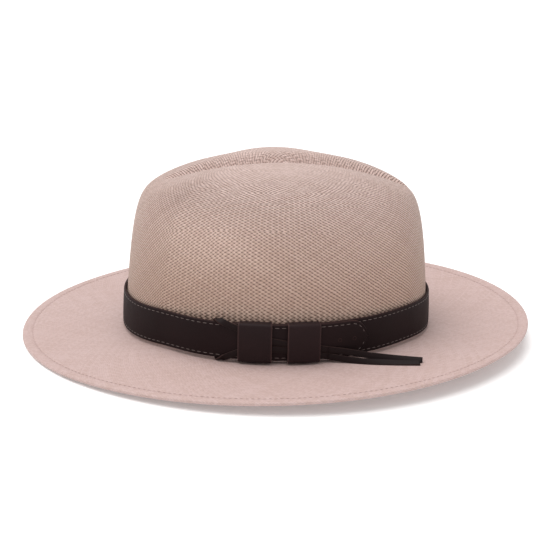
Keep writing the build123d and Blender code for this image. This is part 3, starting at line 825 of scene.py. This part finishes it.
def strap_stitches():
    degrees = np.arange(UNDERLAP_END_DEG + STITCHES_START, FULL_TURN + TONGUE_CENTRE_DEG, 0.5)
    out = strap_inner(degrees) + STRAP_THICKNESS - STITCH_SINK
    lean = np.array([strap_lean(step, 1.0) for step in degrees])
    for name, node, height in STITCH_ROWS:
        path = band_point(degrees, out - lean * height, height)
        shapes = [stitches(path, outward(degrees), STITCH_PITCH, STITCH_LENGTH, *STITCH_SIZE)]
        if node == "strap_thread_upper":
            shapes.append(tongue_arc_stitches())
        piece = make_object(name, *joined(shapes), PALE_THREAD)
        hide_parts(node)


# Rings of a punched hole from its middle outward, as (radius, height over the leather, how pale)
HOLE_RINGS = (
    # The two middle rings make a flat disc over the leather, painted near black as the shade in the hole's
    # well
    (0.05, 0.04, 0.0),
    (0.65, 0.05, 0.0),
    (0.95, 0.14, 0.3),
    (1.15, 0.2, 1.0),
    (1.35, 0.12, 1.0),
    (1.4, -0.2, 0.3),
)
HOLE_SIDES = 16


def tongue_holes():
    """Two punched holes, each a near-black disc of painted shade for the well, with a pressed rim."""
    turn = np.radians(np.arange(HOLE_SIDES) * 360 / HOLE_SIDES)[:, None]
    up_the_band = np.array([0, 0, 1.0])
    shapes = []
    for y in TONGUE_HOLES_Y:
        degrees = side_degrees(y, TONGUE_OUT)
        centre = band_point(degrees, TONGUE_OUT, STRAP_HEIGHT / 2)
        out = outward(degrees)
        circle = up_the_band * np.cos(turn) + np.cross(out, up_the_band) * np.sin(turn)
        shapes.append(sweep([centre + out * rise + radius * circle for radius, rise, _ in HOLE_RINGS]))
    edges = np.tile(np.repeat([pale for _, _, pale in HOLE_RINGS], HOLE_SIDES), len(shapes))
    piece = make_object("tongue_holes", *joined(shapes), HOLE_SHADE_LEATHER, values={"edge": edges})


KEEPER_IN, KEEPER_OUT = STRAP_GAP, 8.15
KEEPER_HOLE_IN, KEEPER_HOLE_OUT = 1.35, 6.75
KEEPER_OVER_EDGE = 1.05
KEEPER_CORNER, KEEPER_HOLE_CORNER = 2.2, 1.0
KEEPER_HOLE_PLAY = 0.5  # of the hole's height over the band's
KEEPER_PER_CORNER = 7
KEEPER_HOLE_PALE = 0.6
# Places along a keeper's half length, how far its outside is drawn in there, and how pale it is
KEEPER_RINGS = (
    (1, 0.55, 0.6),
    (0.985, 0.22, 0.6),
    (0.95, 0.06, 0.25),
    (0.9, 0.0, 0.0),
    (0.8, 0.12, 0.0),
    (0.5, 0.0, 0.0),
    (0, -0.12, 0.0),
)


def keeper_piece(node):
    """A leather loop round the band, with rounded edges."""
    low, high = node_box(node)
    half = math.degrees((high[1] - low[1]) / 2 / (CROWN.side_radius + TONGUE_OUT))
    middle = side_degrees((low[1] + high[1]) / 2, TONGUE_OUT)
    size = np.array([KEEPER_OUT - KEEPER_IN, STRAP_HEIGHT + 2 * KEEPER_OVER_EDGE])
    centre = ((KEEPER_IN + KEEPER_OUT) / 2, STRAP_HEIGHT / 2)
    outside = round_section(*size, KEEPER_CORNER, KEEPER_PER_CORNER)
    hole = KEEPER_HOLE_OUT - KEEPER_HOLE_IN, STRAP_HEIGHT + KEEPER_HOLE_PLAY
    inside = round_section(*hole, KEEPER_HOLE_CORNER, KEEPER_PER_CORNER) + centre
    rings = [(-share, inset, pale) for share, inset, pale in KEEPER_RINGS[:-1]] + list(KEEPER_RINGS[::-1])
    loops = [(share, outside * (1 - 2 * inset / size) + centre, pale) for share, inset, pale in rings]
    loops += [(share, inside, KEEPER_HOLE_PALE) for share, _, _ in rings[::-1]]
    sections, edges = [], []
    for share, loop, pale in loops:
        degrees = middle + half * share
        sections.append(np.array([band_point(degrees, offset, height) for offset, height in loop]))
        edges += [pale] * len(loop)
    points, faces = sweep(sections, closed=True)
    piece = make_object(node + "_leather", points, faces, KEEPER_LEATHER, node, values={"edge": edges})
    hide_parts(node)


# The lace

# One run of the lace, as (y, height above the band's lower edge, offset from the crown, and the
# way its face points: out from the crown and up)
LACE_RUN = (
    (21.3, 2.2, LACE_MIDDLE, 1, 0),
    (5, 5.4, LACE_MIDDLE, 1, 0),
    (-10, 8.0, LACE_MIDDLE, 1, 0),
    (-22, 7.9, LACE_MIDDLE, 1, 0),
    (-34, 5.6, LACE_MIDDLE, 1, 0),
    (-42, 1.8, LACE_MIDDLE, 1, 0),
    (-46, -0.6, LACE_MIDDLE - 0.9, 0.5, -0.8),
    (-47.5, -0.9, 3.6, -0.3, -1),
    (-48, 1.8, 2.2, -1, -0.2),
    (-48.5, 12.0, 1.9, -1, 0),
    (-48.6, 22.0, 2.2, -1, 0.2),
    (-48.2, 24.9, 3.6, -0.3, 1),
    (-46.2, 24.6, LACE_MIDDLE - 0.6, 0.6, 0.8),
    (-41, 22.8, LACE_MIDDLE, 1, 0),
    (-34, 20.2, LACE_MIDDLE, 1, 0),
    (-22, 15.2, LACE_MIDDLE, 1, 0),
    (-10, 12.6, LACE_MIDDLE, 1, 0),
    (5, 9.8, LACE_MIDDLE, 1, 0),
    (21.3, 6.75, LACE_MIDDLE, 1, 0),
)
TAIL_WIDTH = LACE_WIDTH
LACE_SPAN_STEPS = 8
LACE_EDGE_PALE = 0.8
# Routes of the free tails, in metres: as in the CAD model, but flush with the lace at the start
TAIL_ROUTES = {
    "lace_tail_upper": (
        (0.0891, 0.0213, 0.01705),
        (0.0882, 0.0330, 0.01495),
        (0.0904, 0.0455, 0.01305),
        (0.0922, 0.0575, 0.01195),
        (0.0944, 0.0695, 0.0113),
        (0.0966, 0.0805, 0.0110),
    ),
    "lace_tail_lower": (
        (0.0891, 0.0213, 0.0125),
        (0.0902, 0.0325, 0.0103),
        (0.0936, 0.0440, 0.0099),
        (0.0962, 0.0555, 0.01005),
        (0.0986, 0.0670, 0.0104),
        (0.1008, 0.0780, 0.0110),
    ),
}
# Which way the flat of each tail faces at its start, middle and end
TAIL_FACES = {
    "lace_tail_upper": ((0.98, 0.17, 0.0), (0.9, 0.1, 0.4), (0.6, 0.0, 0.8)),
    "lace_tail_lower": ((0.98, 0.17, 0.0), (0.75, 0.1, 0.65), (0.35, 0.0, 0.95)),
}


def lace_piece():
    controls = []
    for y, height, offset, out, up in LACE_RUN:
        degrees = side_degrees(y, offset)
        normal = outward(degrees) * out + np.array([0, 0, up])
        controls.append(np.concatenate([band_point(degrees, offset, height), unit(normal)]))
    line = catmull(controls, LACE_SPAN_STEPS)
    points, faces = strip(line[:, :3], unit(line[:, 3:]), LACE_WIDTH, LACE_THICKNESS)
    edges = strip_edges(len(line))
    piece = make_object("lace_round_band", points, faces, LACE_LEATHER, values={"edge": edges})
    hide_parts("lace_loop")


def strip_edges(rows):
    """Paler narrow sides of a strip, point by point."""
    section = round_section(1.0, 1.0, STRIP_CORNER)
    return np.tile(np.where(np.abs(section[:, 0]) > 0.45, LACE_EDGE_PALE, 0.0), rows)


def spline_points(name, route):
    """Points of the smooth line whose control points are the route's."""
    data = bpy.data.curves.new(name + "_line", "CURVE")
    data.dimensions = "3D"
    data.resolution_u = 16
    spline = data.splines.new("NURBS")
    spline.points.add(len(route) - 1)
    for point, place in zip(spline.points, route):
        point.co = (*place, 1)
    spline.order_u = 3
    spline.use_endpoint_u = True
    holder = bpy.data.objects.new(name + "_line", data)
    mesh = bpy.data.meshes.new_from_object(holder)
    path = np.array([vertex.co[:] for vertex in mesh.vertices])
    bpy.data.objects.remove(holder)
    bpy.data.meshes.remove(mesh)
    return path


def tail_piece(node):
    path = spline_points(node, TAIL_ROUTES[node]) / MM
    shares = np.linspace(0, 1, len(path))
    normals = np.stack([np.interp(shares, (0, 0.5, 1), axis) for axis in zip(*TAIL_FACES[node])], axis=-1)
    points, faces = strip(path, unit(normals), TAIL_WIDTH, LACE_THICKNESS)
    edges = strip_edges(len(path))
    piece = make_object(node + "_strip", points, faces, LACE_LEATHER, values={"edge": edges})
    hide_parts(node)


# Inside the crown

SWEAT_LOW, SWEAT_HIGH = -2.6, 30.4
SWEAT_INNER, SWEAT_OUTER = -3.6, -2.6
SWEAT_LEAN = 1.3
WELT_RADIUS = 0.55


def sweat_point(degrees, offset, height):
    lean = SWEAT_LEAN * (height - SWEAT_LOW) / (SWEAT_HIGH - SWEAT_LOW)
    return band_point(degrees, offset - lean, height)


SWEAT_TALL = SWEAT_HIGH - SWEAT_LOW
SWEAT_MIDDLE = (SWEAT_INNER + SWEAT_OUTER) / 2
# The sweatband's section, as (offset from the crown, height above its lower edge, how pale)
SWEAT_SECTION = (
    (SWEAT_OUTER - 0.3, 0.1, 0.0),
    (SWEAT_OUTER, 0.5, 0.0),
    (SWEAT_OUTER - 0.1, SWEAT_TALL / 3, 0.0),
    (SWEAT_OUTER, SWEAT_TALL - 0.5, 0.18),
    (SWEAT_MIDDLE, SWEAT_TALL, 0.6),
    (SWEAT_INNER, SWEAT_TALL - 0.4, 0.18),
    (SWEAT_INNER + 0.08, SWEAT_TALL - 2.2, 0.0),
    (SWEAT_INNER, SWEAT_TALL / 2, 0.0),
    (SWEAT_INNER - 0.04, 4.0, 0.0),
    (SWEAT_INNER + 0.1, 2.2, 0.0),
    (SWEAT_INNER + 0.12, 1.4, 0.0),
    (SWEAT_INNER, 0.5, 0.12),
    (SWEAT_INNER + 0.3, 0.1, 0.3),
    (SWEAT_MIDDLE, 0.0, 0.48),
)
SWEAT_SECTIONS = 300
SWEAT_ENDS_DEG = (90.4, 449.6)  # its two ends meet at the back
SWEAT_STITCH_DEG = (92, 448)
# The ripples of the free upper edge, as (height, waves round the hat, start in degrees)
SWEAT_RIPPLES = ((0.12, 9, 0), (0.08, 23, 40))
SWEAT_STITCH = dict(pitch=3.2, length=2.3, width=0.45, height=0.35)
SWEAT_STITCH_UP = 1.7


def sweatband_piece():
    sections = []
    for degrees in np.linspace(*SWEAT_ENDS_DEG, SWEAT_SECTIONS):
        ripple = sum(h * math.sin(math.radians(degrees * waves + at)) for h, waves, at in SWEAT_RIPPLES)
        sections.append(np.array([
            sweat_point(degrees, offset + ripple * height / SWEAT_TALL, SWEAT_LOW + height)
            for offset, height, _ in SWEAT_SECTION
        ]))
    points, faces = sweep(sections)
    edges = np.tile([pale for _, _, pale in SWEAT_SECTION], SWEAT_SECTIONS)
    piece = make_object("sweatband_leather", points, faces, SWEAT_LEATHER, values={"edge": edges})
    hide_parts("sweatband")


def sweatband_stitches():
    degrees = np.linspace(*SWEAT_STITCH_DEG, 720)
    path = sweat_point(degrees, SWEAT_INNER - 0.02, SWEAT_LOW + SWEAT_STITCH_UP)
    shape = stitches(path, -outward(degrees), **SWEAT_STITCH)
    piece = make_object("sweatband_stitches", *shape, COTTON)
    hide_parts("sweatband_thread")


WELT_MIDDLE = -1.9
WELT_SECTIONS = 900
WELT_TWISTS = 60
WELT_SIDES = 10


def welt_piece():
    """The cord along the sweatband's lower edge, of two twisted strands."""
    around = np.radians(np.arange(WELT_SIDES) * 360.0 / WELT_SIDES)
    sections = []
    for degrees in np.linspace(0, 360, WELT_SECTIONS, endpoint=False):
        radius = WELT_RADIUS * (0.9 + 0.1 * np.cos(2 * (around - math.radians(degrees * WELT_TWISTS))))
        out, up = WELT_MIDDLE + radius * np.cos(around), SWEAT_LOW + WELT_RADIUS + radius * np.sin(around)
        sections.append(np.array([band_point(degrees, *place) for place in zip(out, up)]))
    piece = make_object("welt_cord", *sweep(sections, closed=True), COTTON)
    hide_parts("sweatband_welt")


# One loop of the bow from the knot out and back, as (x, in from its middle, width), and its knot,
# as (in from its middle, up)
BOW_LOOP = ((0.5, 0.25, 3.0), (4, 0.7, 5.2), (9, 0.8, 8.6), (9, -0.6, 8.8), (4, -0.4, 5.4), (0.5, -0.2, 3.0))
BOW_TURN = ((0.6, 0.3, 9.6), (0.5, -0.2, 9.6))  # at its far end, as (in from the end, ...)
BOW_KNOT = ((-0.5, 2.4), (0.75, 1.6), (0.85, 0.0), (0.75, -1.6), (-0.5, -2.4))
BOW_RISE = 0.03  # the loops rise by this share of their length


def bow_piece():
    """A small flat ribbon bow at the back of the sweatband: two loops and a knot."""
    low, high = node_box("sweatband_bow")
    half = (high[0] - low[0]) / 2
    _, y, z = (low + high) / 2
    far_end = tuple((half - x, inward, width) for x, inward, width in BOW_TURN)
    shapes = []
    for side in (1, -1):
        loop = BOW_LOOP[:3] + far_end + BOW_LOOP[3:]
        places = [(side * x, y - inward, z + BOW_RISE * x, width) for x, inward, width in loop]
        line = catmull(places, 5)
        facing = unit(np.cross(tangents(line[:, :3]), [0, 0, side * 1.0]))
        shapes.append(strip(line[:, :3], facing, line[:, 3], 0.3, 0.12))
    knot = catmull([(0, y - inward, z + up) for inward, up in BOW_KNOT], 5)
    shapes.append(strip(knot, unit(np.cross(tangents(knot), [1.0, 0, 0])), 4.4, 0.4, 0.15))
    piece = make_object("ribbon_bow", *joined(shapes), BOW_RIBBON)
    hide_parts("sweatband_bow")


# The floor, the lights and the camera


FLOOR_REACH = 6.0  # metres each way
FLOOR_ROWS = 24
SENSOR_WIDTH = 36


def stage():
    mesh = bpy.data.meshes.new("floor")
    line = np.linspace(-FLOOR_REACH, FLOOR_REACH, FLOOR_ROWS)
    points = [(x, y, 0.0) for x in line for y in line]
    mesh.from_pydata(points, [], grid_faces(FLOOR_ROWS, FLOOR_ROWS, wrap_columns=False))
    mesh.materials.append(floor_material())
    floor = bpy.data.objects.new("floor", mesh)
    bpy.context.scene.collection.objects.link(floor)


def lights():
    world = bpy.data.worlds.new("studio")
    bpy.context.scene.world = world
    world.use_nodes = True
    background = world.node_tree.nodes["Background"]
    background.inputs["Color"].default_value = (1.0, 1.0, 1.0, 1)
    background.inputs["Strength"].default_value = WORLD_STRENGTH
    data = bpy.data.lights.new("overhead_softbox", "SUN")
    data.energy = KEY_STRENGTH
    data.angle = math.radians(KEY_SPREAD_DEG)
    data.color = (1.0, 0.99, 0.98)
    light = bpy.data.objects.new("overhead_softbox", data)
    light.rotation_mode = "QUATERNION"
    light.rotation_quaternion = Vector(KEY_DIRECTION).to_track_quat("-Z", "Y")
    light.location = (-Vector(KEY_DIRECTION)).normalized()
    bpy.context.scene.collection.objects.link(light)


def camera():
    azimuth, pitch = math.radians(CAMERA_AZIMUTH), math.radians(CAMERA_PITCH)
    level = Vector((math.sin(azimuth), -math.cos(azimuth), 0))
    back = level * math.cos(pitch) + Vector((0, 0, math.sin(pitch)))
    data = bpy.data.cameras.new("camera")
    data.lens = CAMERA_LENS
    data.sensor_width = SENSOR_WIDTH
    view = bpy.data.objects.new("camera", data)
    turn = (-back).to_track_quat("-Z", "Y").to_matrix()
    roll = Matrix.Rotation(math.radians(CAMERA_ROLL), 3, "Z")
    aim_up = Matrix.Rotation(math.radians(CAMERA_AIM_UP), 3, "X")
    aim_left = Matrix.Rotation(math.radians(CAMERA_AIM_LEFT), 3, "Y")
    place = Matrix.Translation(Vector((0, 0, BAND_Z * MM)) + back * CAMERA_DISTANCE * MM)
    view.matrix_world = place @ (turn @ roll @ aim_up @ aim_left).to_4x4()
    bpy.context.scene.collection.objects.link(view)
    bpy.context.scene.camera = view


STRAW = straw_material()
STRAW_THREAD = thread_material("straw_thread", linear(196, 168, 162))
BAND_LEATHER = leather_material("band_leather", linear(28, 15, 16), linear(64, 40, 38), 0.6)
KEEPER_LEATHER = leather_material("keeper_leather", linear(36, 23, 24), linear(90, 66, 64), 0.6)
LACE_LEATHER = leather_material("lace_leather", linear(26, 15, 15), linear(66, 46, 43), 0.58, 0.7)
# Near black: painted shade in the tongue's holes; its edge colour is the pressed rim
HOLE_SHADE_LEATHER = leather_material("hole_shade_leather", linear(4, 3, 3), linear(66, 46, 44), 0.9)
SWEAT_LEATHER = leather_material("sweatband_leather", linear(168, 126, 92), linear(206, 170, 136), 0.42, 0.8)
PALE_THREAD = thread_material("pale_thread", linear(112, 98, 94))
COTTON = thread_material("welt_cotton", linear(205, 188, 165))
BOW_RIBBON = thread_material("bow_ribbon", linear(44, 34, 32), RIBBON_RIBS)

camera()
tail_piece("lace_tail_upper")
tail_piece("lace_tail_lower")
straw_piece()
hem_stitches()
strap_piece()
strap_stitches()
tongue_holes()
keeper_piece("keeper_front")
keeper_piece("keeper_rear")
lace_piece()
sweatband_piece()
sweatband_stitches()
welt_piece()
bow_piece()
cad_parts["band_tacks"].data.materials.clear()
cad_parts["band_tacks"].data.materials.append(PALE_THREAD)
stage()
lights()
bpy.context.scene.view_settings.view_transform = "Standard"
